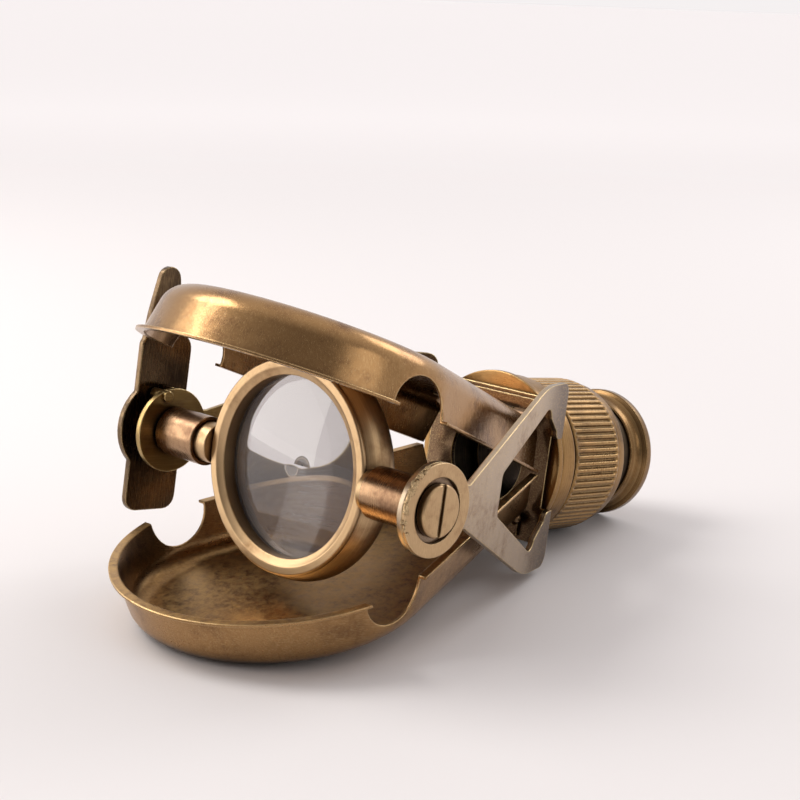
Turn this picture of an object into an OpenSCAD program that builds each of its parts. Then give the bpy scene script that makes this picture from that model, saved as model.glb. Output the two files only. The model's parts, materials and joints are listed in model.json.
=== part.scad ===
// Folding pocket monocular. A sheet-brass yoke holds a pivoting lens ring between two arms.
// Two dished covers, hinged on the yoke's back plate, close over the ring like a clam shell.
// A screw-focused eyepiece stands behind the plate.
// Local axes: x across (the slotted screw's side is +), y along the sight line towards the
// eye, z up. The local origin is where the trunnion axis crosses the sight line.
// The whole is tipped back until it rests on its lower cover and its eyecup.

/* [Yoke] */
// Distance over the outer faces of the two eyes
yoke_w = 64; // [60:0.5:68]
// Thickness of the yoke's sheet
yoke_t = 1.0; // [0.8:0.1:1.2]
// Radius of each eye
eye_r = 7.6; // [7:0.1:8.2]
// Distance from the trunnion axis to the front of the back plate
plate_y = 51.8; // [50:0.2:54]
// Width of the back plate over its bends
plate_w = 32.6; // [31:0.2:34]
// Half height of the back plate
plate_h = 13.7; // [13.2:0.1:14.2]
// Half height of the arms at their wide end
ear_h = 17.3; // [16.5:0.1:18]
// Half height of the neck behind each eye
neck_h = 3.6; // [3.2:0.1:4.2]
// Angle of the arm's legs from the sight line
leg_angle = 21.3; // [20:0.5:23]
// Radius of the sight hole in the back plate
sight_r = 8.6; // [8:0.1:9]
// Thickness of the raised ring on the screw side's eye
washer_t = 0.7; // [0.5:0.1:1]
// Width of that raised ring
washer_w = 2.3; // [1.8:0.1:2.6]

/* [Lens ring] */
// Radius of the clear aperture
aperture_r = 15.4; // [15:0.1:15.6]
// Width of the lens edge that the two lips hold
lens_lip = 1.1; // [0.9:0.05:1.2]
// Wall of the lens ring outside the lens
cell_wall = 3.0; // [2.8:0.05:3]
// Distance from the trunnion axis forward to the ring's front face
cell_front = 2.0; // [1.8:0.1:2.2]
// Distance from the trunnion axis back to the ring's rear face
cell_back = 5.8; // [5.4:0.1:6.2]
// Radius of the bulge round the ring's outside
bulge_r = 4.6; // [4.4:0.1:4.8]
// Thickness of the front retaining ring
bezel_t = 0.8; // [0.6:0.1:1]
// Curvature radius of the objective lens
lens_curve = 90; // [80:1:120]
// Edge thickness of the objective lens
lens_edge = 1.4; // [1.2:0.1:1.6]

/* [Trunnions] */
// Wall of the sleeves between the ring and the eyes
sleeve_wall = 0.8; // [0.6:0.05:1.1]
// Radius of the ring's own stubs inside the sleeves
stub_r = 3.6; // [3.3:0.1:3.8]
// Radius of the pivot shanks in the eyes
shank_r = 2.2; // [2:0.1:2.5]
// Radius of the slotted screw's head
head_r = 4.3; // [4:0.1:4.6]
// Height of the slotted screw's head
head_t = 1.5; // [1.3:0.1:1.8]
// Width of the screw's slot
slot_w = 0.9; // [0.7:0.1:1.1]

/* [Key] */
// Thickness of the turning key
key_t = 1.2; // [1:0.1:1.5]
// Distance between the eye and the key
key_gap = 3.0; // [2.8:0.1:3.4]
// Radius of the key's round middle
key_hub_r = 8.5; // [8:0.1:9]
// Half width of the key's bar
key_bar_w = 5.7; // [5.3:0.1:6.1]
// Height of the key's fingertip end above the axis
key_top = 29; // [27:0.5:31]
// Depth of the key's lower tab below the axis
key_low = 15.6; // [14:0.2:17]
// Radius of the key pin and the stop pin
pin_r = 1.0; // [0.9:0.05:1.1]
// Distance of both pins from the trunnion axis
pin_orbit = 6.6; // [6.4:0.1:6.7]

/* [Covers] */
// Radius of the covers' rims round the front
cover_r = 28.5; // [28.2:0.1:28.8]
// Clear depth inside each cover
cover_in = 9.2; // [9.2:0.1:9.4]
// Thickness of the covers' sheet
cover_t = 0.5; // [0.5:0.05:0.7]
// Width of the flat lip round the rim
lip_w = 1.2; // [1:0.1:1.3]
// Radius of the rounding between wall and top
cover_round = 4.5; // [4:0.1:5]
// Lean of the covers' walls
wall_lean = 12; // [10:1:14]
// Taper of the covers' tails, each side
tail_taper = 16; // [15.6:0.1:16.6]
// Radius of the notches that clear the sleeves
notch_r = 6.2; // [5.8:0.1:6.2]
// Angle by which each cover stands open at rest
cover_open = 15.7; // [15.7:0.1:17]

/* [Hinges] */
// Radius of the hinge pins
hinge_pin_r = 0.8; // [0.7:0.05:0.85]
// Wall of the hinge barrels
barrel_wall = 0.65; // [0.5:0.05:0.7]
// Half length of the covers' middle barrels
knuckle_w = 6.4; // [6:0.1:6.6]
// Length of each of the yoke's side barrels
lug_w = 3.5; // [3:0.1:3.8]

/* [Eyepiece] */
// Bore radius of the fixed tube
tube_bore = 9.4; // [9.2:0.1:9.6]
// Wall of the fixed tube
tube_wall = 2.4; // [2.2:0.1:2.6]
// Length of the fixed tube
tube_l = 14.7; // [13.7:0.1:15]
// Width of the flange on the back plate, round the tube
flange_w = 4.8; // [4.4:0.1:5.2]
// Thickness of that flange
flange_t = 1.4; // [1.2:0.1:1.6]
// Width of the collar behind the flange, round the tube
collar_w = 4.0; // [3.7:0.1:4.4]
// Length of the collar
collar_l = 6.0; // [5:0.1:6.5]
// Wall of the focusing drum
drum_wall = 3.25; // [3:0.05:3.5]
// Length of the focusing drum
drum_l = 17; // [16.5:0.1:17.5]
// Number of grip ridges round the drum
ridge_count = 72; // [60:1:84]
// Depth of the grooves between the ridges
ridge_depth = 0.4; // [0.3:0.05:0.5]
// Length of the plain band at the drum's rear end
rear_band = 2.2; // [1.8:0.1:2.6]
// Step from the ridges down to that band
rear_step = 0.7; // [0.5:0.05:0.9]
// Step from the sliding tube out to the eyepiece's neck
neck_step = 1.25; // [1.1:0.05:1.4]
// Free length between the drum and the eyecup's rim
neck_l = 10; // [9.5:0.1:11]
// Width of the eyecup's rim outside the neck
cup_w = 2.25; // [1.9:0.05:2.5]
// Thickness of the eyecup's rim
cup_t = 2.0; // [1.8:0.1:2.4]
// Radius of the eye lens
eye_lens_r = 7.8; // [7.4:0.1:8]
// Curvature radius of the eye lens
eye_curve = 30; // [26:1:40]

/* [Hidden] */
$fn = 96;

// Radial clearance of a shaft that turns or slides, and of one that is fixed in its hole
run = 0.05;
fit = 0.02;
// Free space between parts that move past each other
air = 0.3;
// Length by which a cutting solid reaches past what it cuts
cut = 1;

// Yoke
eye_x = yoke_w / 2;
bend_y = eye_r + 0.6;
plate_back = plate_y + yoke_t;
arm_run = plate_back - bend_y;
arm_lean = atan((eye_x - plate_w / 2) / arm_run);
arm_l = arm_run / cos(arm_lean);
ear_round = 22;
corner_r = 2.6;
ear_s = ear_round * sin(leg_angle)
        + (ear_h - ear_round * (1 - cos(leg_angle)) - neck_h) / tan(leg_angle);
// Window in each arm: leg width, the radii of its corners, where they lie, and its half height
// at the bend
leg_w = 4.6;
window_r = 2.5;
window_s = arm_l - 10.6;
window_turn = 15;
window_open = 6.8;
bend_round = 2;
window_front = 15.4;
window_front_h = 4.1;
front_round = 1.2;
washer_r = eye_r - washer_w;

// Lens ring: the lens sits behind a retaining ring and rests on a rear lip
lens_r = aperture_r + lens_lip;
cell_r = lens_r + cell_wall;
front_r = cell_r - 1.2;
lens_y = cell_back - 4.4;
seat_gap = 0.25;
seat_r = lens_r + run;
bulge_y = (cell_back - cell_front + bezel_t) / 2;
band_w = 1.6;

// Trunnions
sleeve_r = stub_r + sleeve_wall;
stub_end = 24.6;
sleeve_end = eye_x - yoke_t - air - 0.1;
near_start = cell_r + air;
far_start = near_start + 1.3;
key_x = eye_x + key_gap;
stop_angle = 110;

// Key: how far its shoulder and its neck lie below the tip, and the radii of its corners
shoulder_drop = 12;
neck_drop = 6;
tip_r = 2.3;
tab_round = 2.5;
back_round = 3;
edge_round = 2;

// Hinges: the axis lies in the covers' top sheets
barrel_r = hinge_pin_r + barrel_wall;
hinge_y = plate_y - barrel_r - 0.15;
hinge_z = cover_in + 0.3;
leaf_t = 0.6;
leaf_l = 9;
lug_start = knuckle_w + air;
lug_end = lug_start + lug_w;
pin_end = lug_end + 0.4 + hinge_pin_r;

// The covers' tails reach close to the plate, with a notch that clears the barrels
tail_y = plate_y - 0.5;
hinge_notch_y = hinge_y - barrel_r - 0.25;

// Cover section: flat lip, leaning wall, rounding, flat top
rim_z = 0.15;
lip_top = rim_z + cover_t;
round_z = cover_in + cover_t - cover_round;
wall_foot = round_z + cover_round * sin(wall_lean) - lip_top;
round_in = lip_w + cover_round * cos(wall_lean) + wall_foot * tan(wall_lean);

// Eyepiece
tube_r = tube_bore + tube_wall;
flange_r = tube_r + flange_w;
collar_r = tube_r + collar_w;
drum_r = tube_r + run + drum_wall;
flange_back = plate_back + flange_t;
collar_back = flange_back + collar_l;
drum_y = collar_back + air;
drum_back = drum_y + drum_l;
drum_end_t = 2.5;
drum_edge = 1.0;
band_y = drum_back - rear_band;
band_r = drum_r - rear_step;
rim_front = drum_back + neck_l;
cup_back = rim_front + cup_t;
cup_seat = rim_front - 0.8;
neck_y = drum_back - drum_end_t - 0.5;
slide_r = tube_bore - run;
neck_r = slide_r + neck_step;
cup_r = neck_r + cup_w;
slide_y = plate_back + 7;
eye_y = rim_front - 8.4;
eye_edge = 1.7;
chamfer = 0.3;

// Rest: the lower cover's rounding touches the table, and so does the drum or the eyecup
open_dy = -(cover_r - round_in) - hinge_y;
open_dz = hinge_z - round_z;
toe_y = hinge_y + open_dy * cos(cover_open) - open_dz * sin(cover_open);
toe_z = -hinge_z + open_dy * sin(cover_open) + open_dz * cos(cover_open);
heels = [[band_y - drum_edge, drum_r], [cup_back - chamfer, cup_r]];
pitch = min([for (heel = heels) rest_pitch([heel.x - toe_y, -heel.y - toe_z])]);
rest_h = max([for (heel = heels) heel.x * sin(pitch) + heel.y * cos(pitch)]);

// Box of the resting part, so that its origin lies under the middle of the box
lip_dy = -cover_r - hinge_y;
lip_dz = hinge_z - rim_z;
lip_y = hinge_y + lip_dy * cos(cover_open) - lip_dz * sin(cover_open);
lip_z = -hinge_z + lip_dy * sin(cover_open) + lip_dz * cos(cover_open);
front_y = lip_y * cos(pitch) + lip_z * sin(pitch);
back_y = cup_back * cos(pitch) + (cup_r - chamfer) * sin(pitch);
mid_y = (front_y + back_y) / 2;
near_x = eye_x + 0.1 + head_t;
far_x = key_x + key_t + 0.3;
mid_x = (near_x - far_x) / 2;

brass = [0.66, 0.52, 0.30];
light_brass = [0.76, 0.63, 0.40];
dark_brass = [0.40, 0.29, 0.17];
copper_brass = [0.62, 0.44, 0.28];
glass = [0.62, 0.63, 0.64, 0.45];

// Tilt at which the table touches the cover's rounding and a heel at that reach from its centre
function rest_pitch(reach) = atan2(reach.y, reach.x) + asin(cover_round / norm(reach));

// Points of an arc from angle a to angle b
function arc(c, r, a, b, n) = [for (i = [0:n]) c + r * [cos(a + (b - a) * i / n), sin(a + (b - a) * i / n)]];

// The same points on the other side of the second axis, in reverse order
function mirrored(points) = [for (i = [len(points) - 1:-1:0]) [points[i].x, -points[i].y]];

module rest() {
    translate([-mid_x, -mid_y, rest_h]) rotate([-pitch, 0, 0]) children();
}

// Opens a piece drawn on the closed upper cover, or mirrors it to the lower one
module on_upper() {
    translate([0, hinge_y, hinge_z]) rotate([-cover_open, 0, 0]) translate([0, -hinge_y, -hinge_z])
        children();
}

module on_lower() {
    mirror([0, 0, 1]) on_upper() children();
}

// Turns a profile of [radius, distance along the sight line] about the sight line
module revolve() {
    rotate([-90, 0, 0]) rotate_extrude() children();
}

// A cylinder along x from x1 to x2
module rod(x1, x2, r, at = [0, 0]) {
    translate([min(x1, x2), at.x, at.y]) rotate([0, 90, 0]) cylinder(h = abs(x2 - x1), r = r);
}

// Yoke

module arm_outline() {
    tip = ear_s - ear_round * sin(leg_angle);
    upper = concat(
        [[0, neck_h], [tip, neck_h + tip * tan(leg_angle)]],
        arc([ear_s, ear_h - ear_round], ear_round, 90 + leg_angle, 90, 6),
        arc([arm_l - corner_r, ear_h - corner_r], corner_r, 90, 0, 6));
    polygon(concat(upper, mirrored(upper)));
}

module arm_window() {
    inner_z = neck_h - leg_w / cos(leg_angle);
    top_z = inner_z + (window_s - window_r * sin(leg_angle)) * tan(leg_angle)
            - window_r * cos(leg_angle) + 0.2;
    upper = concat(
        arc([window_front + front_round, window_front_h - front_round], front_round,
            180, 90 + leg_angle, 4),
        arc([window_s, top_z], window_r, 90 + leg_angle, window_turn, 7),
        arc([arm_l - bend_round, window_open + bend_round], bend_round, 190, 270, 4),
        [[arm_l + 3 * cut, window_open]]);
    polygon(concat(upper, mirrored(upper)));
}

// Lays an outline of [distance behind the bend, height] in the near arm, cut past its faces
module in_arm(past) {
    translate([eye_x, bend_y, 0]) rotate([0, 0, arm_lean]) rotate([90, 0, 90])
        translate([0, 0, -yoke_t - past]) linear_extrude(yoke_t + 2 * past) children();
}

module one_arm() {
    difference() {
        union() {
            rod(eye_x - yoke_t, eye_x, eye_r);
            translate([eye_x - yoke_t, 0, -neck_h]) cube([yoke_t, bend_y, 2 * neck_h]);
            in_arm(0) arm_outline();
        }
        in_arm(cut) arm_window();
        rod(eye_x - yoke_t - cut, eye_x + cut, shank_r + run);
    }
}

module yoke() {
    color(brass) rest() difference() {
        union() {
            one_arm();
            mirror([1, 0, 0]) one_arm();
            difference() {
                translate([-plate_w / 2 + 0.6, plate_y, -plate_h])
                    cube([plate_w - 1.2, yoke_t, 2 * plate_h]);
                for (side = [0, 1]) mirror([side, 0, 0]) in_arm(cut) arm_window();
            }
        }
        translate([0, plate_y - cut, 0]) rotate([-90, 0, 0]) cylinder(h = yoke_t + 2 * cut, r = sight_r);
        rod(-eye_x - cut, -eye_x + yoke_t + cut, pin_r + fit,
            pin_orbit * [cos(stop_angle), sin(stop_angle)]);
    }
}

module eye_washer() {
    color(light_brass) rest() difference() {
        rod(eye_x, eye_x + washer_t, eye_r);
        rod(eye_x - cut, eye_x + washer_t + cut, washer_r);
    }
}

// Hinge leaf on the plate's front, with a barrel at each side
module frame_leaf() {
    difference() {
        union() {
            for (side = [-1, 1]) rod(side * lug_start, side * lug_end, barrel_r, [hinge_y, hinge_z]);
            translate([-lug_end, plate_y - leaf_t, hinge_z])
                cube([2 * lug_end, leaf_t, plate_h - 0.7 - hinge_z]);
        }
        translate([-lug_start, plate_y - leaf_t - cut, hinge_z - cut])
            cube([2 * lug_start, leaf_t + 2 * cut, barrel_r + air + cut]);
        rod(-lug_end - cut, lug_end + cut, hinge_pin_r + fit, [hinge_y, hinge_z]);
    }
}

module upper_leaf() {
    color(brass) rest() frame_leaf();
}

module lower_leaf() {
    color(brass) rest() mirror([0, 0, 1]) frame_leaf();
}

module hinge_pin() {
    rod(-lug_end - 0.4, lug_end + 0.4, hinge_pin_r, [hinge_y, hinge_z]);
    for (side = [-1, 1]) translate([side * (lug_end + 0.4), hinge_y, hinge_z]) sphere(r = hinge_pin_r);
}

module upper_hinge_pin() {
    color(light_brass) rest() hinge_pin();
}

module lower_hinge_pin() {
    color(light_brass) rest() mirror([0, 0, 1]) hinge_pin();
}

module stop_pin() {
    color(light_brass) rest()
        rod(-eye_x - key_gap + 0.5, -eye_x + yoke_t + 0.6, pin_r,
            pin_orbit * [cos(stop_angle), sin(stop_angle)]);
}

module tube_flange() {
    color(copper_brass) rest() revolve() difference() {
        translate([0, plate_back]) square([flange_r, flange_t]);
        translate([-cut, plate_back - cut]) square([tube_r + fit + cut, flange_t + 2 * cut]);
    }
}

module tube_collar() {
    color(copper_brass) rest() revolve() polygon([
        [tube_r + fit, flange_back], [collar_r - 0.9, flange_back], [collar_r - 0.9, flange_back + 0.9],
        [collar_r - 0.2, flange_back + 1.1], [collar_r, flange_back + 1.6],
        [collar_r, collar_back - 1.3], [collar_r - 0.3, collar_back - 0.9],
        [collar_r - 1.3, collar_back - 0.8], [collar_r - 1.3, collar_back], [tube_r + fit, collar_back]]);
}

module fixed_tube() {
    color(dark_brass) rest() revolve() translate([tube_bore, plate_back])
        square([tube_r - tube_bore, tube_l]);
}

// Lens ring

module cell_section() {
    difference() {
        union() {
            intersection() {
                translate([cell_r - bulge_r, bulge_y]) circle(r = bulge_r);
                translate([aperture_r, -cell_front + bezel_t]) square([cell_r, cell_back + cell_front - bezel_t]);
            }
            translate([aperture_r + 0.2, -cell_front + bezel_t])
                square([cell_r - bulge_r - aperture_r + 1.2, cell_back + cell_front - bezel_t]);
        }
        translate([0, -cell_front]) square([seat_r, lens_y + lens_edge + cell_front + 0.2]);
    }
}

module lens_cell() {
    color(light_brass) rest() {
        revolve() cell_section();
        for (side = [-1, 1]) rod(side * (cell_r - 1.2), side * stub_end, stub_r);
    }
}

module lens_bezel() {
    color(light_brass) rest() revolve() polygon([
        [aperture_r, -cell_front + bezel_t - 0.2], [front_r - band_w - 0.5, -cell_front + 0.4],
        [front_r - band_w, -cell_front], [front_r - 0.25, -cell_front], [front_r, -cell_front + 0.25],
        [front_r, -cell_front + bezel_t], [seat_r - run, -cell_front + bezel_t],
        [seat_r - run, lens_y - seat_gap], [aperture_r, lens_y - seat_gap]]);
}

// Biconvex lens of radius r whose edge runs from y to y + edge
module lens(r, y, edge, curve) {
    depth = sqrt(curve * curve - r * r);
    revolve() intersection() {
        translate([0, y - r]) square([r, edge + 2 * r]);
        translate([0, y + depth]) circle(r = curve, $fn = 720);
        translate([0, y + edge - depth]) circle(r = curve, $fn = 720);
    }
}

module objective_lens() {
    color(glass) rest() lens(lens_r, lens_y, lens_edge, lens_curve);
}

module sleeve(start) {
    difference() {
        rod(start, sleeve_end, sleeve_r);
        rod(start - cut, stub_end + 0.2, stub_r + fit);
        rod(stub_end, sleeve_end + cut, shank_r + fit);
    }
}

module near_sleeve() {
    color(copper_brass) rest() sleeve(near_start);
}

module far_sleeve() {
    color(copper_brass) rest() mirror([1, 0, 0]) sleeve(far_start);
}

module pivot_screw() {
    head_x = eye_x + 0.1;
    color(light_brass) rest() difference() {
        union() {
            rod(stub_end + 0.4, head_x, shank_r);
            translate([head_x, 0, 0]) rotate([0, 90, 0]) rotate_extrude() polygon([
                [0, 0], [head_r, 0], [head_r, head_t - chamfer], [head_r - chamfer, head_t], [0, head_t]]);
        }
        translate([head_x + head_t / 2, -slot_w / 2, -head_r - cut])
            cube([head_t, slot_w, 2 * (head_r + cut)]);
    }
}

module key_shaft() {
    color(dark_brass) rest() rod(-stub_end - 0.4, -far_x, shank_r);
}

module key_spacer() {
    color(dark_brass) rest() difference() {
        rod(-eye_x - 0.15, -key_x, 4.0);
        rod(-eye_x + cut, -key_x - cut, shank_r + fit);
    }
}

module key_outline() {
    shoulder_z = key_top - shoulder_drop;
    neck_z = key_top - neck_drop;
    polygon(concat(
        arc([-key_bar_w + tab_round, -key_low + tab_round], tab_round, 180, 270, 5),
        arc([key_bar_w - tab_round, -key_low + tab_round], tab_round, 270, 360, 5),
        arc([key_bar_w - back_round, shoulder_z - back_round], back_round, 0, 50, 4),
        [[tip_r, neck_z - tab_round], [tip_r - 0.3, neck_z]],
        arc([-0.95, key_top - tip_r], tip_r, 8, 172, 9),
        [[-4.1, neck_z], [-4.6, neck_z - tab_round]],
        arc([-key_bar_w + edge_round, shoulder_z - 1.2 * edge_round], edge_round, 140, 180, 3)));
    circle(r = key_hub_r);
}

module key_lever() {
    color(brass) rest() difference() {
        translate([-key_x - key_t, 0, 0]) rotate([90, 0, 90]) linear_extrude(key_t) key_outline();
        rod(-key_x + cut, -key_x - key_t - cut, shank_r + fit);
        rod(-key_x + cut, -key_x - key_t - cut, pin_r + fit, [0, pin_orbit]);
    }
}

module key_pin() {
    color(light_brass) rest() rod(-eye_x - air, -key_x - key_t - 0.2, pin_r, [0, pin_orbit]);
}

// Covers

// Half section of a cover's body t inside its outer face, from the height foot up to the top.
// It runs from inner, at or past the middle, out to the leaning wall.
module cover_section(t, foot, inner) {
    middle = cover_r - round_in;
    r = cover_round - t;
    start = [middle + r * cos(wall_lean), round_z + r * sin(wall_lean)];
    polygon([[inner, foot], [start.x + (start.y - foot) * tan(wall_lean), foot], start,
             [middle, round_z], [middle, round_z + r], [inner, round_z + r]]);
    intersection() {
        translate([middle, round_z]) circle(r = r);
        translate([middle, round_z]) square(r);
    }
}

// Flat lip round the rim, as a section
module lip_section(inner) {
    translate([inner, rim_z]) square([cover_r - inner, cover_t]);
}

// Carries a half section round the front and along both straight tails up to y = end
module carry_round(end) {
    rotate([0, 0, 180 - tail_taper]) rotate_extrude(angle = 180 + 2 * tail_taper) children(0);
    intersection() {
        for_side(0) children(1);
        for_side(1) children(1);
        translate([-2 * cover_r, -cut, -cover_r]) cube([4 * cover_r, end + cut, 2 * cover_r]);
    }
}

// Tail on one side: the section runs along the line that touches the round front
module for_side(side) {
    mirror([side, 0, 0]) rotate([0, 0, tail_taper]) rotate([90, 0, 0]) mirror([0, 0, 1])
        linear_extrude(2 * plate_y) children();
}

// Rounded notch in each side of the rim, round the trunnion axis
module side_notches() {
    for (side = [0, 1]) mirror([side, 0, 0]) translate([cover_r - round_in - cut, 0, 0])
        rotate([90, 0, 90]) linear_extrude(round_in + 2 * cut)
            polygon(concat([[-notch_r, -cut], [notch_r, -cut]], arc([0, 0], notch_r, 0, 180, 18)));
}

module cover() {
    difference() {
        union() {
            carry_round(tail_y) {
                cover_section(0, rim_z, 0);
                cover_section(0, rim_z, -cover_r);
            }
            carry_round(tail_y) {
                lip_section(0);
                lip_section(-cover_r);
            }
        }
        carry_round(tail_y + cut) {
            cover_section(cover_t, rim_z - cut, 0);
            cover_section(cover_t, rim_z - cut, -cover_r);
        }
        side_notches();
        translate([-pin_end - air, hinge_notch_y, round_z])
            cube([2 * (pin_end + air), plate_y - hinge_notch_y, cover_in]);
    }
}

// Middle barrel with the leaf that is soldered under the cover's top
module knuckle() {
    difference() {
        union() {
            rod(-knuckle_w, knuckle_w, barrel_r, [hinge_y, hinge_z]);
            translate([-knuckle_w, hinge_y - leaf_l, cover_in - leaf_t])
                cube([2 * knuckle_w, leaf_l - 0.3, leaf_t]);
        }
        rod(-knuckle_w - cut, knuckle_w + cut, hinge_pin_r + run, [hinge_y, hinge_z]);
    }
}

module upper_cover() {
    color(brass) rest() on_upper() cover();
}

module upper_knuckle() {
    color(dark_brass) rest() on_upper() knuckle();
}

module lower_cover() {
    color(brass) rest() on_lower() cover();
}

module lower_knuckle() {
    color(dark_brass) rest() on_lower() knuckle();
}

// Eyepiece

module focus_drum() {
    grip_start = drum_y + 0.9;
    grip_end = band_y - drum_edge - 0.2;
    color(copper_brass) rest() difference() {
        revolve() polygon([
            [tube_r + run, drum_y], [drum_r - 0.5, drum_y], [drum_r, drum_y + 0.5],
            [drum_r, band_y - drum_edge], [drum_r - 0.15, band_y - drum_edge / 2],
            [drum_r - 0.4, band_y - 0.1], [band_r, band_y],
            [band_r, drum_back - chamfer], [band_r - chamfer, drum_back], [neck_r + 0.1, drum_back],
            [neck_r + 0.1, drum_back - drum_end_t], [tube_r + run, drum_back - drum_end_t]]);
        for (i = [0:ridge_count - 1]) rotate([0, i * 360 / ridge_count, 0])
            translate([drum_r + 0.35 - ridge_depth, grip_start, 0]) rotate([-90, 0, 0])
                cylinder(h = grip_end - grip_start, r = 0.35, $fn = 16);
    }
}

module eyepiece_tube() {
    bore = slide_r - 0.9;
    color(dark_brass) rest() revolve() polygon([
        [bore, slide_y], [slide_r, slide_y], [slide_r, neck_y], [neck_r, neck_y],
        [neck_r, cup_seat], [eye_lens_r + run, cup_seat],
        [eye_lens_r + run, eye_y - 0.2], [eye_lens_r - 0.6, eye_y - 0.2],
        [eye_lens_r - 0.6, eye_y - 1.2], [bore, eye_y - 1.4]]);
}

module eye_lens() {
    color(glass) rest() lens(eye_lens_r, eye_y, eye_edge, eye_curve);
}

module lens_retainer() {
    color(dark_brass) rest() revolve() translate([eye_lens_r - 0.9, eye_y + eye_edge + 0.25])
        square([0.9, 1.6]);
}

module eyecup() {
    color(light_brass) rest() revolve() polygon([
        [neck_r + fit, cup_seat - 2.1], [neck_r + 0.6, cup_seat - 2.1], [neck_r + 0.9, rim_front - 0.9],
        [cup_r - 0.6, rim_front - 0.2], [cup_r, rim_front], [cup_r, cup_back - chamfer],
        [cup_r - chamfer, cup_back], [cup_r - 1.1, cup_back], [cup_r - 1.5, cup_back - 0.7],
        [eye_lens_r - 1, rim_front + 0.3], [eye_lens_r - 1, cup_seat], [neck_r + fit, cup_seat]]);
}

yoke();
eye_washer();
upper_leaf();
lower_leaf();
upper_hinge_pin();
lower_hinge_pin();
stop_pin();
tube_flange();
tube_collar();
fixed_tube();
lens_cell();
lens_bezel();
objective_lens();
near_sleeve();
far_sleeve();
pivot_screw();
key_shaft();
key_spacer();
key_lever();
key_pin();
upper_cover();
upper_knuckle();
lower_cover();
lower_knuckle();
focus_drum();
eyepiece_tube();
eye_lens();
lens_retainer();
eyecup();
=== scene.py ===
# %% [markdown]
# # A folding pocket monocular in aged brass
# The construction is loaded as a fixed frame: every piece already has its real size and place.
# What is left to do is the looks, which means finer edges, turned and pressed details, worn and
# tarnished metal, clear glass, and a pale studio to stand it in.

# %% Load the frame
import json
import math
import random

import bpy
from mathutils import Matrix, Vector


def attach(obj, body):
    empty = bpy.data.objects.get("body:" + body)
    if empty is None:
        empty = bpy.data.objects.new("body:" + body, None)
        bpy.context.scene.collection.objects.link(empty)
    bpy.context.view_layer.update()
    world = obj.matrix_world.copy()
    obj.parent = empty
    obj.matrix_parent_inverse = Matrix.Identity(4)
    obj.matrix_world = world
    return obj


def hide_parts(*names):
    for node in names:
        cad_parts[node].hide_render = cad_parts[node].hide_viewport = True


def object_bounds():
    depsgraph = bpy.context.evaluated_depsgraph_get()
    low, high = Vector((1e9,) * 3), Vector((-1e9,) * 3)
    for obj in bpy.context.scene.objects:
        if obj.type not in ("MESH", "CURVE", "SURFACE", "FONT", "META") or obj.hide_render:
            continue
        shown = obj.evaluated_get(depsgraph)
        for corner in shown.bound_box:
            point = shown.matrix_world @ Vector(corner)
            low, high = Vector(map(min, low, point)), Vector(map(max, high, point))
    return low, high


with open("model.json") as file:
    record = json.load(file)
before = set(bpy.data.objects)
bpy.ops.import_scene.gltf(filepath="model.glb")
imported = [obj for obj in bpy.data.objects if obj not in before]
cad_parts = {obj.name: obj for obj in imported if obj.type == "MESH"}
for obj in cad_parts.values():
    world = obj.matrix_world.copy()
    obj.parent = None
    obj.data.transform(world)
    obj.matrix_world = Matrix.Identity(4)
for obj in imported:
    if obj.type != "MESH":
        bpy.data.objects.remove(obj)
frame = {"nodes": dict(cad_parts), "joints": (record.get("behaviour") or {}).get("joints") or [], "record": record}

cad_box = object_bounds()
nodes = frame["nodes"]
joints = {joint["name"]: joint for joint in frame["joints"]}
body_of_node = {node: body for body, members in frame["record"]["behaviour"]["bodies"].items()
                for node in members}
slot_of_node = {part["node"]: part["material_slot"] for part in frame["record"]["subparts"]}
bpy.ops.object.select_all(action="DESELECT")
bpy.context.scene.view_settings.view_transform = "Standard"
print("nodes in the frame:", len(nodes))

# %% [markdown]
# ## Where things are
# The instrument is easier to think about along its own axes: x across, towards the slotted screw,
# y along the line of sight, towards the eye, and z up. It rests tipped back, so those axes are not
# the room's. The lens ring's joint gives the starting point, and the focusing joint gives the line
# of sight. Both come with the frame, so nothing has to be typed in twice.

# %% The instrument's own axes
MM = 0.001
TRUNNION = Vector(joints["lens_turn"]["pos_m"])
SIGHT = Vector(joints["focus_turn"]["axis"]).normalized()
ACROSS = Vector((1, 0, 0))
UP = ACROSS.cross(SIGHT)
TIPPED = math.asin(-SIGHT.z)


def direction(x, y, z):
    """A direction along the instrument's own axes, in the room."""
    return ACROSS * x + SIGHT * y + UP * z


def place(x, y, z):
    """A point in millimetres along the instrument's own axes, in the room."""
    return TRUNNION + direction(x, y, z) * MM


print("tipped back by", round(math.degrees(TIPPED), 2), "degrees")

# %% [markdown]
# ## The camera
# The photograph's camera was worked out from the round parts and the straight edges: where it
# stood, which way it looked, and which way its frame's right side points. A long lens keeps the
# shapes calm.

# %% Camera
CAMERA_AT = (193.3, -195.5, 49.0)      # these three are along the instrument's own axes
LOOKING = (-0.654, 0.746, -0.128)
FRAME_RIGHT = (0.734, 0.666, 0.133)
SENSOR_MM, LENS_MM = 36, 74.7
NEAREST_SEEN = 0.01

camera_data = bpy.data.cameras.new("camera")
camera = bpy.data.objects.new("camera", camera_data)
bpy.context.scene.collection.objects.link(camera)
bpy.context.scene.camera = camera
camera_data.sensor_width = SENSOR_MM
camera_data.lens = LENS_MM
camera_data.clip_start = NEAREST_SEEN
looking = direction(*LOOKING).normalized()
right = direction(*FRAME_RIGHT)
right = (right - looking * right.dot(looking)).normalized()
above = right.cross(looking)
camera.matrix_world = Matrix.Translation(place(*CAMERA_AT)) @ Matrix(
    (right, above, -looking)).transposed().to_4x4()
print("camera stands at", [round(value, 3) for value in camera.matrix_world.translation])

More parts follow.
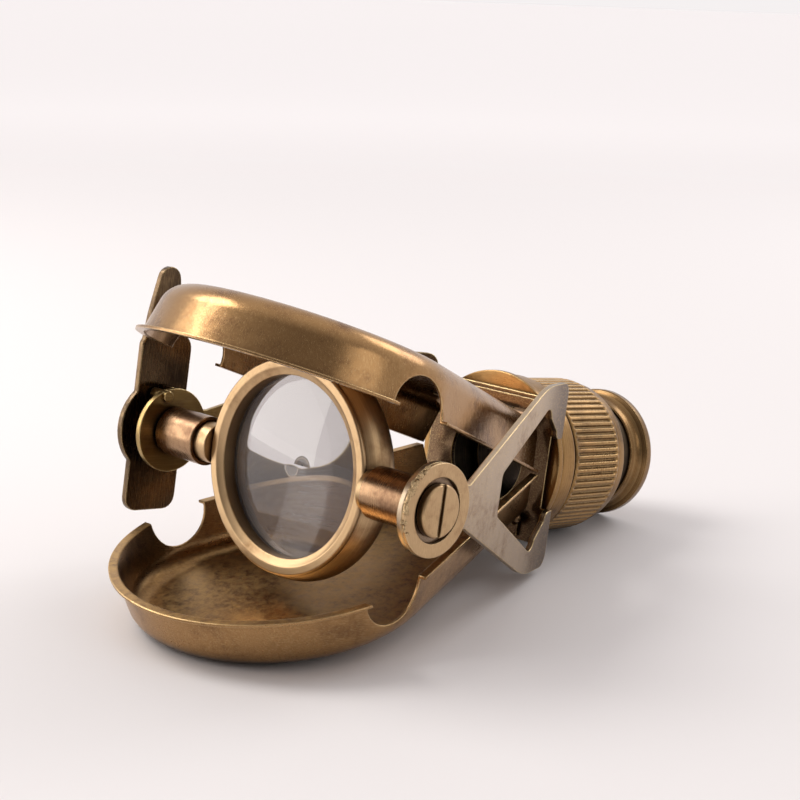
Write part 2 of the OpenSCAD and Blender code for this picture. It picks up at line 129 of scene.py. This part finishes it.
# %% [markdown]
# ## A pale studio
# Metal has almost no colour of its own to show: it shows the room. A room that is pale all round
# makes brass look like flat paint, so this one is pale behind and above the instrument and dims
# towards the viewer, as a photographer's table does. An image of a real room could light it too,
# but a gradient says in two colours what it does. Four soft lamps add the long highlights.

# %% Node helpers
def add(tree, kind, inputs=None, **settings):
    """Adds a shader node. An input is a plain value or another node's output socket."""
    node = tree.nodes.new(kind)
    for name, value in settings.items():
        setattr(node, name, value)
    for name, value in (inputs or {}).items():
        if isinstance(value, bpy.types.NodeSocket):
            tree.links.new(value, node.inputs[name])
        else:
            node.inputs[name].default_value = value
    return node


def ramp(tree, factor, low, high):
    """0 below low, 1 above high and a smooth step between them."""
    node = add(tree, "ShaderNodeMapRange", {"Value": factor, "From Min": low, "From Max": high},
               interpolation_type="SMOOTHSTEP")
    return node.outputs["Result"]


def mixed(tree, factor, first, second):
    """Mixes two colours, each a plain colour or a socket."""
    node = add(tree, "ShaderNodeMix", data_type="RGBA")
    for name, value in (("Factor_Float", factor), ("A_Color", first), ("B_Color", second)):
        socket = next(s for s in node.inputs if s.identifier == name)
        if isinstance(value, bpy.types.NodeSocket):
            tree.links.new(value, socket)
        else:
            socket.default_value = value if name == "Factor_Float" else (*value, 1)
    return next(s for s in node.outputs if s.identifier == "Result_Color")


def maths(tree, operation, *values):
    """One arithmetic step on plain numbers or sockets."""
    node = add(tree, "ShaderNodeMath", dict(enumerate(values)), operation=operation)
    return node.outputs[0]


# %% World
PALE, DIM = (0.915, 0.88, 0.88), (0.22, 0.20, 0.19)
DIM_FROM, DIM_FULL = -0.3, 0.9       # how squarely a direction faces the viewer, from -1 to 1

world = bpy.data.worlds.new("studio")
bpy.context.scene.world = world
world.use_nodes = True
tree = world.node_tree
tree.nodes.clear()
coords = add(tree, "ShaderNodeTexCoord")
to_viewer = -Vector((looking.x, looking.y, 0)).normalized()
towards = add(tree, "ShaderNodeVectorMath", {0: coords.outputs["Generated"], 1: to_viewer},
              operation="DOT_PRODUCT")
dim_side = ramp(tree, towards.outputs["Value"], DIM_FROM, DIM_FULL)
room = mixed(tree, dim_side, PALE, DIM)
background = add(tree, "ShaderNodeBackground", {"Color": room, "Strength": 1.0})
add(tree, "ShaderNodeOutputWorld", {"Surface": background.outputs[0]})
print("the room dims towards", [round(value, 2) for value in to_viewer])

# %% [markdown]
# ## The floor
# The instrument stands on a pale sheet that runs out of sight. Lamps near the instrument light only
# its middle, so the far part would turn grey. A faint glow that starts some way out keeps the sheet
# even. Light Path lets only the camera, reflections and the view through glass see the glow, so it
# lights nothing. Near the instrument there is none, so its shadow stays. A curved backdrop would
# also do, but it would have to be as large as this floor.

# %% Floor
FLOOR_SIZE = 40.0
FLOOR_COLOUR, FLOOR_ROUGHNESS, FLOOR_SHINE = (0.80, 0.77, 0.77), 0.8, 0.2
GLOW, GLOW_FROM, GLOW_FULL = 0.40, 0.15, 1.20       # strength, and two distances in metres

bpy.ops.mesh.primitive_plane_add(size=FLOOR_SIZE, location=(0, 0, 0))
floor = bpy.context.object
floor.name = "floor"
floor_material = bpy.data.materials.new("pale_floor")
floor_material.use_nodes = True
tree = floor_material.node_tree
shader = tree.nodes["Principled BSDF"]
shader.inputs["Base Color"].default_value = (*FLOOR_COLOUR, 1)
shader.inputs["Roughness"].default_value = FLOOR_ROUGHNESS
shader.inputs["Specular IOR Level"].default_value = FLOOR_SHINE
shader.inputs["Emission Color"].default_value = (*PALE, 1)
coords = add(tree, "ShaderNodeTexCoord")
away = add(tree, "ShaderNodeVectorMath", {0: coords.outputs["Object"]}, operation="LENGTH")
light_path = add(tree, "ShaderNodeLightPath")
seen = light_path.outputs["Is Camera Ray"]
for kind in ("Is Glossy Ray", "Is Transmission Ray"):
    seen = maths(tree, "MAXIMUM", seen, light_path.outputs[kind])
glow = maths(tree, "MULTIPLY", ramp(tree, away.outputs["Value"], GLOW_FROM, GLOW_FULL), seen)
tree.links.new(maths(tree, "MULTIPLY", glow, GLOW), shader.inputs["Emission Strength"])
floor.data.materials.append(floor_material)
bpy.ops.object.select_all(action="DESELECT")
print("floor:", FLOOR_SIZE, "m, glow from", GLOW_FROM, "m")


# %% Lamps
def softbox(name, at, aim, size, power, tint):
    """A square area lamp that stands at a point and faces another."""
    data = bpy.data.lights.new(name, "AREA")
    data.size = size
    data.energy = power
    data.color = tint
    lamp = bpy.data.objects.new(name, data)
    bpy.context.scene.collection.objects.link(lamp)
    lamp.location = at
    lamp.rotation_euler = (Vector(aim) - Vector(at)).to_track_quat("-Z", "Y").to_euler()


MIDDLE = Vector([(low + high) / 2 for low, high in zip(*cad_box)])
LAMPS = (       # name, place and size in metres, power in watts, tint
    ("key", (-0.42, -0.22, 0.55), 0.30, 2.3, (1.0, 0.98, 0.95)),
    ("back", (0.10, 0.60, 0.45), 0.32, 1.1, (1.0, 1.0, 1.0)),
    ("front", (-0.50, -0.40, 0.19), 0.40, 1.4, (1.0, 0.97, 0.93)),
    ("side", (0.58, 0.04, 0.30), 0.26, 0.25, (1.0, 0.98, 0.96)))
for name, at, size, power, tint in LAMPS:
    softbox(name, at, MIDDLE, size, power, tint)
print("lamps:", len(LAMPS))

# %% [markdown]
# ## Aged brass
# Antique brass is a bright yellow metal under a brown skin. The skin is thin where fingers rub
# and gone along the edges. So one recipe serves every piece: a base colour, darker patches,
# bright worn edges, painted shade that darkens corners and hollows (with some dirt in the corners),
# and fine lines left by the lathe or the brush. Each piece gets its own colours and its own direction of lines.
# Painting the wear by hand would give more control, but it would need a picture for each piece.
# Here the Bevel node finds the edges, and Ambient Occlusion finds the corners and hollows where the shade is
# painted.

# %% Coordinates and lines
LINE_SCALE, LINE_DETAIL, LINE_ROUGHNESS = 5.0, 3.0, 0.65
STRETCH = {"brushed_y": (1, 0.03, 1), "brushed_z": (1, 1, 0.05)}


def instrument_coords(tree):
    """Object coordinates in millimetres along the instrument's own axes."""
    turn = Matrix.Rotation(TIPPED, 3, "X")
    shift = -(turn @ TRUNNION) / MM
    mapping = add(tree, "ShaderNodeMapping", {
        "Vector": add(tree, "ShaderNodeTexCoord").outputs["Object"],
        "Location": shift, "Rotation": (TIPPED, 0, 0), "Scale": (1 / MM, 1 / MM, 1 / MM)})
    return mapping.outputs["Vector"]


def noise(tree, coords, scale, detail, roughness=0.6):
    """Soft random patches, from 0 to 1."""
    node = add(tree, "ShaderNodeTexNoise", {
        "Vector": coords, "Scale": scale, "Detail": detail, "Roughness": roughness})
    return node.outputs["Fac"]


def lines(tree, coords, lined):
    """Fine lines: turned round an axis, or brushed along a direction."""
    if lined.startswith("turned"):
        split = add(tree, "ShaderNodeSeparateXYZ", {"Vector": coords})
        along, second = ("Y", "X") if lined == "turned_sight" else ("X", "Y")
        flat = add(tree, "ShaderNodeCombineXYZ", {
            "X": split.outputs[second], "Y": split.outputs["Z"]})
        radius = add(tree, "ShaderNodeVectorMath", {0: flat.outputs[0]}, operation="LENGTH")
        vector = add(tree, "ShaderNodeCombineXYZ", {
            "X": radius.outputs["Value"], "Y": split.outputs[along]}).outputs[0]
    else:
        vector = add(tree, "ShaderNodeMapping", {
            "Vector": coords, "Scale": STRETCH[lined]}).outputs[0]
    return noise(tree, vector, LINE_SCALE, LINE_DETAIL, LINE_ROUGHNESS)


print("kinds of lines: turned_sight, turned_across,", ", ".join(STRETCH))

# %% Where the brass is worn, and where shade is painted into corners and hollows
BEVEL_MM = 0.35        # how wide a worn edge looks
CORNER_MM = 2.5        # how far the painted shade, with some dirt, reaches out of a corner
HOLLOW_SHADE_MM = 9.0         # how deep a hollow has to be before it gets the full painted shade
RAYS = 6


def worn_edges(tree):
    """1 along the edges, and the softened normal that shows them."""
    soft = add(tree, "ShaderNodeBevel", {"Radius": BEVEL_MM * MM}, samples=RAYS).outputs[0]
    surface = add(tree, "ShaderNodeNewGeometry")
    facing = add(tree, "ShaderNodeVectorMath", {0: soft, 1: surface.outputs["Normal"]},
                 operation="DOT_PRODUCT")
    bent = maths(tree, "SUBTRACT", 1.0, facing.outputs["Value"])
    return ramp(tree, bent, 0.01, 0.16), soft


def enclosed(tree, distance_mm, open_above, closed_below):
    """1 where other surfaces stand close round a place."""
    around = add(tree, "ShaderNodeAmbientOcclusion", {"Distance": distance_mm * MM}, samples=RAYS)
    return ramp(tree, around.outputs["AO"], open_above, closed_below)


def scaled(colour, share):
    """A colour made darker."""
    return tuple(share * channel for channel in colour)


# the darkened corners get painted shade as well as some dirt
print("worn edges", BEVEL_MM, "mm wide, dirty corners", CORNER_MM, "mm deep")

# %% The recipe for brass
PATCH_SCALE, MOTTLE_SCALE, SPECK_SCALE, WAVE_SCALE = 0.11, 0.7, 4.0, 0.16
FAR_ARM_X = (-20.0, -14.0)        # across, in mm: where the far arm's painted tone ends
REAR_Y = (36.0, 51.5)             # along the sight line, in mm: where the yoke darkens with painted shade towards the plate
WAVE_MM, LINE_DEPTH, BUMP = 0.30, 0.012, 0.35


def aged_brass(name, base, dark, bright, lined, tarnish=0.5, roughness=0.3, scratch=0.35,
               shade=0.6, far_side_painted_tone=None, rear_painted_shade=0.0, painted_top_light=None):
    """Brass with tarnish patches, worn edges and fine lines, painted shade in corners and hollows, and optional
    painted tones for a far side, a rear and surfaces facing up.
    """
    material = bpy.data.materials.new(name)
    material.use_nodes = True
    tree = material.node_tree
    shader = tree.nodes["Principled BSDF"]
    coords = instrument_coords(tree)
    spot = add(tree, "ShaderNodeSeparateXYZ", {"Vector": coords})

    def part_of(mask, share):
        return maths(tree, "MULTIPLY", mask, share)

    # what the colour and the roughness both follow
    patches = noise(tree, coords, PATCH_SCALE, 4)
    mottle = noise(tree, coords, MOTTLE_SCALE, 6, 0.7)
    specks = noise(tree, coords, SPECK_SCALE, 2)
    grain = lines(tree, coords, lined)
    edge, soft = worn_edges(tree)
    # painted shade: Ambient Occlusion darkens the corners, with some dirt, and the deeper hollows
    corner_shade_and_dirt = enclosed(tree, CORNER_MM, 0.88, 0.35)
    painted_hollow_shade = part_of(enclosed(tree, HOLLOW_SHADE_MM, 0.70, 0.25), shade)
    blotch = maths(tree, "ADD", part_of(patches, 0.65), part_of(mottle, 0.35))
    skin = ramp(tree, blotch, 0.58 - 0.25 * tarnish, 0.82 - 0.25 * tarnish)

    # colour, from the large patches to the small marks
    # painted tone: the far arm differs from the near side, whose greyish base is a painted reflection of the pale
    # room
    if far_side_painted_tone:
        base = mixed(tree, ramp(tree, spot.outputs["X"], *FAR_ARM_X), far_side_painted_tone, base)
    colour = mixed(tree, skin, base, dark)
    # painted shade on the yoke towards the plate
    if rear_painted_shade:
        rear_shade = part_of(ramp(tree, spot.outputs["Y"], *REAR_Y), rear_painted_shade)
        colour = mixed(tree, rear_shade, colour, scaled(dark, 0.4))
    # painted light from above: surfaces facing up are made lighter
    if painted_top_light:
        faces_up = add(tree, "ShaderNodeVectorMath", {
            0: add(tree, "ShaderNodeTexCoord").outputs["Normal"], 1: UP}, operation="DOT_PRODUCT")
        painted_top_light_mask = maths(tree, "MULTIPLY", ramp(tree, faces_up.outputs["Value"], 0.55, 0.92),
                           ramp(tree, mottle, 0.70, 0.35))
        colour = mixed(tree, painted_top_light_mask, colour, painted_top_light)
    # painted shade in the deeper hollows
    colour = mixed(tree, painted_hollow_shade, colour, scaled(dark, 0.45))
    colour = mixed(tree, part_of(ramp(tree, grain, 0.45, 0.75), scratch), colour, bright)
    colour = mixed(tree, part_of(ramp(tree, specks, 0.70, 0.78), 0.6), colour, dark)
    # painted shade, with some dirt, in the corners
    colour = mixed(tree, part_of(corner_shade_and_dirt, 0.75), colour, scaled(dark, 0.35))
    rubbed = maths(tree, "MULTIPLY", edge, ramp(tree, mottle, 0.30, 0.50))
    colour = mixed(tree, rubbed, colour, bright)
    tree.links.new(colour, shader.inputs["Base Color"])

    # roughness: duller where the skin is thick, and along the lines
    rough = maths(tree, "MULTIPLY_ADD", blotch, 0.22, roughness - 0.11)
    # the same up-facing mask also makes those surfaces rougher
    if painted_top_light:
        rough = maths(tree, "MULTIPLY_ADD", painted_top_light_mask, 0.12, rough)
    rough = maths(tree, "MULTIPLY_ADD", grain, 0.16, maths(tree, "SUBTRACT", rough, 0.08))
    tree.links.new(rough, shader.inputs["Roughness"])
    shader.inputs["Metallic"].default_value = 1.0

    # relief: long waves in the sheet and the depth of the lines
    waves = noise(tree, coords, WAVE_SCALE, 2)
    height = maths(tree, "ADD", part_of(waves, WAVE_MM), part_of(grain, LINE_DEPTH))
    bump = add(tree, "ShaderNodeBump", {"Height": height, "Strength": BUMP, "Distance": MM,
                                        "Normal": soft})
    tree.links.new(bump.outputs[0], shader.inputs["Normal"])
    return material


# %% [markdown]
# ## Clear glass
# An old lens is clear, but dust and fine scratches grey it. Dust could be a layer of its own. Here
# the glass keeps most of its Transmission, and the rest scatters light as dust does.

# %% Clear glass
GLASS_TINT, CLEARNESS, GLASS_ROUGHNESS = (0.66, 0.64, 0.64), 0.88, 0.02
GLASS_IOR, GLASS_SHINE = 1.5, 0.3


def clear_glass(name):
    """Polished glass, a little grey and hazy as old lenses are."""
    material = bpy.data.materials.new(name)
    material.use_nodes = True
    shader = material.node_tree.nodes["Principled BSDF"]
    shader.inputs["Base Color"].default_value = (*GLASS_TINT, 1)
    shader.inputs["Roughness"].default_value = GLASS_ROUGHNESS
    shader.inputs["Transmission Weight"].default_value = CLEARNESS
    shader.inputs["IOR"].default_value = GLASS_IOR
    shader.inputs["Specular IOR Level"].default_value = GLASS_SHINE
    return material


# %% [markdown]
# ## Finishes for every slot
# The yoke is greyish where the camera sees it, a painted reflection of the pale room, has a painted
# yellower tone on its far arm, and has painted shade towards the plate. The lens ring and the raised ring
# on the near eye are the lightest, the sleeves are reddish, the key and the eyecup are dark brown, and
# the tubes inside are nearly black. The lower cover gets a finish of its own that is lighter where a
# surface faces up, painted light from above, and rougher there.

# %% The finishes
BRASSES = (     # name, base, dark and bright colour, lines, and what differs from the recipe
    # the yoke: greyish base as a painted reflection, a painted far-arm tone and painted shade towards the plate
    ("yoke_brass", (0.45, 0.345, 0.245), (0.22, 0.12, 0.07), (0.74, 0.56, 0.28), "brushed_y",
     {"tarnish": 0.42, "roughness": 0.32, "shade": 0.9, "far_side_painted_tone": (0.38, 0.26, 0.10),
      "rear_painted_shade": 0.95}),
    ("key_brass", (0.14, 0.09, 0.05), (0.055, 0.036, 0.025), (0.60, 0.44, 0.22), "brushed_z",
     {"tarnish": 0.7, "roughness": 0.28, "scratch": 0.25}),
    ("bright_brass", (0.52, 0.35, 0.19), (0.30, 0.17, 0.08), (0.80, 0.60, 0.34), "turned_sight",
     {"tarnish": 0.40, "roughness": 0.38}),
    ("sleeve_brass", (0.35, 0.215, 0.12), (0.14, 0.07, 0.04), (0.60, 0.44, 0.26),
     "turned_across", {"roughness": 0.27, "scratch": 0.12}),
    ("cover_brass", (0.36, 0.205, 0.088), (0.17, 0.085, 0.042), (0.74, 0.53, 0.28), "brushed_z",
     {"tarnish": 0.48, "roughness": 0.25, "scratch": 0.22, "shade": 0.2}),
    # the lower cover: painted light from above on surfaces facing up
    ("floor_brass", (0.38, 0.22, 0.095), (0.19, 0.10, 0.05), (0.76, 0.55, 0.28), "brushed_y",
     {"tarnish": 0.45, "scratch": 0.30, "shade": 0.1, "painted_top_light": (0.56, 0.35, 0.14)}),
    ("dark_brass", (0.07, 0.048, 0.03), (0.03, 0.022, 0.016), (0.36, 0.26, 0.14),
     "turned_sight", {"tarnish": 0.7, "roughness": 0.45}),
    ("drum_brass", (0.31, 0.175, 0.066), (0.10, 0.052, 0.022), (0.64, 0.45, 0.21),
     "turned_sight", {}),
    ("eyecup_brass", (0.20, 0.11, 0.043), (0.08, 0.045, 0.02), (0.68, 0.49, 0.25),
     "turned_sight", {"roughness": 0.28}))
finishes = {name: aged_brass(name, base, dark, bright, lined, **differs)
            for name, base, dark, bright, lined, differs in BRASSES}
finishes["clear_glass"] = clear_glass("clear_glass")
print("finishes:", ", ".join(finishes))

# %% [markdown]
# ## Rounding the edges of the sheet and turned pieces
# No real edge is sharp: sheet is filed after sawing, and a turned piece is touched with a file
# while it spins. The frame's solids have sharp edges, so each is copied, and a Bevel modifier
# rounds every edge that is steeper than a limit. It could be modelled again from nothing, but then
# its holes might miss their pins. The copy is loose triangles, so its doubles are merged and its
# flat faces dissolved first, or the bevel would find an edge along every triangle.

# %% Rounded copies
SAME_PLACE = 0.001 * MM
FLAT, STEEP = math.radians(0.2), math.radians(32)


def select_only(piece):
    """Selects one object and makes it the active one."""
    bpy.ops.object.select_all(action="DESELECT")
    piece.select_set(True)
    bpy.context.view_layer.objects.active = piece


def modify(piece, kind, **settings):
    """Adds a modifier with its settings and applies it at once."""
    select_only(piece)
    modifier = piece.modifiers.new(kind, kind)
    for name, value in settings.items():
        setattr(modifier, name, value)
    bpy.ops.object.modifier_apply(modifier=modifier.name)


def finish(piece, finish_name):
    """Gives a piece one finish and no other."""
    piece.data.materials.clear()
    piece.data.materials.append(finishes[finish_name])


def go_with(piece, node_name):
    """Gives a piece the body of a node and the finish of the node's slot."""
    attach(piece, body_of_node[node_name])
    finish(piece, slot_of_node[node_name])


def rounded_copy(node_name, width_mm):
    """A copy of a node with its edges rounded, merged and dissolved first."""
    piece = bpy.data.objects.new(node_name + "_rounded", nodes[node_name].data.copy())
    bpy.context.scene.collection.objects.link(piece)
    select_only(piece)
    bpy.ops.object.mode_set(mode="EDIT")
    bpy.ops.mesh.select_all(action="SELECT")
    bpy.ops.mesh.remove_doubles(threshold=SAME_PLACE)
    bpy.ops.mesh.dissolve_limited(angle_limit=FLAT)
    bpy.ops.object.mode_set(mode="OBJECT")
    modify(piece, "BEVEL", width=width_mm * MM, segments=2, limit_method="ANGLE",
           angle_limit=STEEP, use_clamp_overlap=True)
    bpy.ops.object.shade_smooth_by_angle(angle=STEEP)
    modify(piece, "WEIGHTED_NORMAL", keep_sharp=True)
    go_with(piece, node_name)
    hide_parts(node_name)
    return piece


ROUNDED = {"yoke": 0.14, "eye_washer": 0.12, "key_lever": 0.22, "pivot_screw": 0.12,
           "lens_cell": 0.12, "lens_bezel": 0.12, "near_sleeve": 0.15, "far_sleeve": 0.15,
           "tube_flange": 0.25, "tube_collar": 0.15, "upper_cover": 0.10, "lower_cover": 0.10,
           "upper_leaf": 0.10, "lower_leaf": 0.10, "key_spacer": 0.15}
rounded = {name: rounded_copy(name, width) for name, width in ROUNDED.items()}
# the lower cover's finish paints light from above on surfaces facing up
finish(rounded["lower_cover"], "floor_brass")
for name, piece in rounded.items():
    print(name, "has", len(piece.data.polygons), "faces")

# %% [markdown]
# ## Turned pieces
# The drum and the eyecup come off a lathe, so they are made the way a lathe thinks: a profile that
# goes once round the sight line. Spin would do it, and so would Screw. Here a circle is extruded
# from point to point of the profile and scaled to each radius, which keeps the loops in order, so
# that they can be picked out later.

# %% A lathe
ALONG_SIGHT = Matrix.Translation(TRUNNION) @ Matrix((ACROSS, -UP, SIGHT)).transposed().to_4x4()


def turned(name, profile, sides):
    """Turns a closed profile of (radius, distance behind the trunnions) in millimetres."""
    bpy.ops.object.select_all(action="DESELECT")
    radius, distance = profile[0]
    bpy.ops.mesh.primitive_circle_add(vertices=sides, radius=radius * MM,
                                      location=(0, 0, distance * MM))
    piece = bpy.context.object
    piece.name = name
    bpy.ops.object.mode_set(mode="EDIT")
    bpy.ops.mesh.select_mode(type="EDGE")
    bpy.ops.mesh.select_all(action="SELECT")
    for next_radius, next_distance in profile[1:] + profile[:1]:
        step = (0, 0, (next_distance - distance) * MM)
        bpy.ops.mesh.extrude_edges_move(TRANSFORM_OT_translate={"value": step})
        scale = next_radius / radius
        bpy.ops.transform.resize(value=(scale, scale, 1), center_override=(0, 0, 0))
        radius, distance = next_radius, next_distance
    bpy.ops.mesh.select_all(action="SELECT")
    bpy.ops.mesh.remove_doubles(threshold=SAME_PLACE)
    bpy.ops.mesh.normals_make_consistent(inside=False)
    bpy.ops.object.mode_set(mode="OBJECT")
    bpy.ops.object.transform_apply(location=True, rotation=True, scale=True)
    return piece


def lay_along_sight(piece):
    """Turns a piece that was made round the room's z axis onto the sight line."""
    select_only(piece)
    piece.matrix_world = ALONG_SIGHT
    bpy.ops.object.transform_apply(location=True, rotation=True, scale=True)
    bpy.ops.object.shade_smooth_by_angle(angle=STEEP)


def pick(piece, wanted):
    """Selects the vertices whose place passes a test, and nothing else."""
    bpy.ops.object.mode_set(mode="OBJECT")
    select_only(piece)
    bpy.ops.object.mode_set(mode="EDIT")
    bpy.ops.mesh.select_mode(type="VERT")
    bpy.ops.mesh.select_all(action="DESELECT")
    bpy.ops.object.mode_set(mode="OBJECT")
    for vertex in piece.data.vertices:
        vertex.select = bool(wanted(vertex.co / MM))
    bpy.ops.object.mode_set(mode="EDIT")


def span(node_name):
    """A node's nearest and furthest distance along the sight line, and its radius, in mm."""
    points = [(vertex.co - TRUNNION) / MM for vertex in nodes[node_name].data.vertices]
    along = [point.dot(SIGHT) for point in points]
    radii = [(point - SIGHT * point.dot(SIGHT)).length for point in points]
    return min(along), max(along), max(radii)


print("drum from, to, radius:", [round(value, 2) for value in span("focus_drum")])

# %% [markdown]
# ## The focusing drum
# A finger turns this drum, so it is cut with straight ridges. The ridges are rolled in, which
# leaves rounded tops and shallow valleys that run out at both ends. Behind them the drum has a
# rounded shoulder and steps down to a plain band. The ridges could be a Bump node, but their
# outline shows at the drum's edge, so they are real: a drum is turned with eight sides to a ridge,
# and the vertices in the valleys are scaled towards the middle.

# %% Turn the drum
DRUM_FRONT, DRUM_BACK, DRUM_R = span("focus_drum")
RIDGES = 72
SIDES_PER_RIDGE = 8
GRIP_FRONT, GRIP_BACK = DRUM_FRONT + 0.9, DRUM_BACK - 3.4
BAND_R = DRUM_R - 0.7
TUBE_BORE_R, NECK_BORE_R, END_WALL = 11.85, 10.7, 2.5
GRIP_MIDDLE = (GRIP_FRONT + GRIP_BACK) / 2
drum_profile = [        # radius and distance, round the front corner, along the grip, and back
    (TUBE_BORE_R, DRUM_FRONT), (DRUM_R - 0.55, DRUM_FRONT), (DRUM_R - 0.2, DRUM_FRONT + 0.12),
    (DRUM_R, DRUM_FRONT + 0.45), (DRUM_R, GRIP_FRONT), (DRUM_R, GRIP_FRONT + 0.35),
    (DRUM_R, GRIP_FRONT + 0.8), (DRUM_R, GRIP_MIDDLE - 3), (DRUM_R, GRIP_MIDDLE),
    (DRUM_R, GRIP_MIDDLE + 3), (DRUM_R, GRIP_BACK - 0.8), (DRUM_R, GRIP_BACK - 0.35),
    (DRUM_R, GRIP_BACK), (DRUM_R - 0.08, GRIP_BACK + 0.45), (DRUM_R - 0.28, GRIP_BACK + 0.85),
    (DRUM_R - 0.6, GRIP_BACK + 1.12), (BAND_R, GRIP_BACK + 1.2), (BAND_R, DRUM_BACK - 0.35),
    (BAND_R - 0.1, DRUM_BACK - 0.1), (BAND_R - 0.35, DRUM_BACK), (NECK_BORE_R, DRUM_BACK),
    (NECK_BORE_R, DRUM_BACK - END_WALL), (TUBE_BORE_R, DRUM_BACK - END_WALL)]
drum = turned("focus_drum_ridged", drum_profile, RIDGES * SIDES_PER_RIDGE)

# %% Press the valleys
VALLEY_DEPTH = 0.5
PLACES = {3: 0.45, 4: 1.0, 5: 1.0, 6: 0.45}     # which of a ridge's sides go down, and how far
RUN_OUT = 0.35                                  # how deep the valleys still are at their ends
OUTER_LOOPS = ((GRIP_FRONT + 0.2, GRIP_BACK - 0.2, 1.0),
               (GRIP_FRONT - 0.1, GRIP_FRONT + 0.1, RUN_OUT),
               (GRIP_BACK - 0.1, GRIP_BACK + 0.1, RUN_OUT))


def side_number(point):
    """Which of a ridge's sides a vertex belongs to."""
    turn = math.atan2(point.y, point.x) / math.tau
    return round(turn * RIDGES * SIDES_PER_RIDGE) % SIDES_PER_RIDGE


for start, end, share in OUTER_LOOPS:
    for side, depth in PLACES.items():
        pick(drum, lambda point: (start < point.z < end and point.xy.length > DRUM_R - 0.05
                                  and side_number(point) == side))
        scale = 1 - VALLEY_DEPTH * depth * share / DRUM_R
        bpy.ops.transform.resize(value=(scale, scale, 1), center_override=(0, 0, 0))
bpy.ops.object.mode_set(mode="OBJECT")
print("ridges:", RIDGES, "faces:", len(drum.data.polygons))

# %% [markdown]
# Fingers have worn one place on the drum almost smooth. Smoothing the vertices there, a few times
# over, fades the ridges the way wear does.

# %% Wear one place smooth
WORN_SIDE, WORN_HALF_ANGLE = math.radians(18), math.radians(7)
WORN_FRONT, WORN_BACK = DRUM_FRONT + 0.5, DRUM_FRONT + 6.5


def in_worn_place(point):
    """True on the outside of the drum where fingers have rubbed it."""
    around = abs(math.atan2(-point.y, point.x) - WORN_SIDE)
    return (around < WORN_HALF_ANGLE and WORN_FRONT < point.z < WORN_BACK
            and point.xy.length > DRUM_R - 0.5)


pick(drum, in_worn_place)
bpy.ops.mesh.vertices_smooth(factor=0.5, repeat=4)
bpy.ops.object.mode_set(mode="OBJECT")
lay_along_sight(drum)
go_with(drum, "focus_drum")
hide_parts("focus_drum")
print("drum faces:", len(drum.data.polygons))

# %% [markdown]
# ## The eyecup
# The eye end is a short flared rim with a wide hollow face. Its profile has a rolled edge, a flat
# face, and a shallow cone down to the hole in the middle.

# %% Turn the eyecup
NECK_SEAT, CUP_BACK, CUP_R = span("eyecup")
CUP_T, CUP_SIDES = 2.0, 144
CUP_FRONT = CUP_BACK - CUP_T
NECK_R, EYE_HOLE_R = 10.62, 6.8
CUP_SEAT = CUP_FRONT - 0.8
cup_profile = [         # radius and distance, out along the neck, round the rim, and in
    (NECK_R, NECK_SEAT), (NECK_R + 0.35, NECK_SEAT), (NECK_R + 0.55, NECK_SEAT + 0.2),
    (NECK_R + 0.7, CUP_FRONT - 1.4), (NECK_R + 1.0, CUP_FRONT - 0.8),
    (CUP_R - 0.7, CUP_FRONT - 0.2), (CUP_R - 0.25, CUP_FRONT - 0.02), (CUP_R, CUP_FRONT + 0.3),
    (CUP_R, CUP_BACK - 0.45), (CUP_R - 0.12, CUP_BACK - 0.13), (CUP_R - 0.45, CUP_BACK),
    (CUP_R - 1.0, CUP_BACK), (CUP_R - 1.25, CUP_BACK - 0.15), (CUP_R - 1.5, CUP_BACK - 0.6),
    (CUP_R - 3.2, CUP_BACK - 1.35), (EYE_HOLE_R + 0.4, CUP_FRONT + 0.25),
    (EYE_HOLE_R, CUP_FRONT + 0.05), (EYE_HOLE_R, CUP_SEAT), (NECK_R, CUP_SEAT)]
eyecup = turned("eyecup_turned", cup_profile, CUP_SIDES)
lay_along_sight(eyecup)
go_with(eyecup, "eyecup")
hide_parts("eyecup")
print("eyecup faces:", len(eyecup.data.polygons))

# %% [markdown]
# ## Solder crumbs on the near eye
# The raised ring is soldered to the yoke's eye, and the maker left the solder's crumbs along the
# front of its edge. Each crumb starts as a small ball. The balls are joined, a Remesh modifier
# melts them into one lump as heat would, and a random shift of the vertices breaks the smooth
# look. They could be sculpted by hand, but a seed gives the same crumbs each time.

# %% Solder crumbs
EYE_X, EYE_R = 32.0, 7.6       # the near eye's outer face and radius, in mm
CRUMBS, MELT_MM, ROUGH_MM = 90, 0.09, 0.05
chance = random.Random(11)
bpy.ops.object.select_all(action="DESELECT")
balls = []
for crumb in range(CRUMBS):
    turn = math.radians(chance.triangular(-38, 66, 38))
    reach = EYE_R + chance.uniform(-0.40, 0.22)
    size = chance.uniform(0.14, 0.33)
    at = place(EYE_X + chance.uniform(0.20, 0.90), -reach * math.cos(turn), reach * math.sin(turn))
    bpy.ops.mesh.primitive_ico_sphere_add(subdivisions=2, radius=size * MM, location=at)
    bpy.ops.transform.resize(value=(0.8, chance.uniform(0.8, 1.6), chance.uniform(0.8, 1.6)))
    balls.append(bpy.context.object)
select_only(balls[0])
for ball in balls:
    ball.select_set(True)
bpy.ops.object.join()
crumbs = bpy.context.object
crumbs.name = "solder_crumbs"
bpy.ops.object.transform_apply(location=True, rotation=True, scale=True)
modify(crumbs, "REMESH", mode="VOXEL", voxel_size=MELT_MM * MM)
bpy.ops.object.mode_set(mode="EDIT")
bpy.ops.mesh.select_all(action="SELECT")
bpy.ops.transform.vertex_random(offset=ROUGH_MM * MM, uniform=1.0, normal=0.5, seed=3)
bpy.ops.object.mode_set(mode="OBJECT")
bpy.ops.object.shade_smooth_by_angle(angle=math.radians(50))
go_with(crumbs, "eye_washer")
print("crumbs:", CRUMBS, "faces:", len(crumbs.data.polygons))

# %% [markdown]
# ## What stays as the frame gives it
# Pins, tubes, knuckles and lenses are hardly seen or already have their final shape, so only their
# finish is added. The nodes that a piece above replaces get one too, though they are hidden.

# %% Plain nodes
for name, node in nodes.items():
    finish(node, slot_of_node[name])
print("nodes with a finish:", len(nodes))
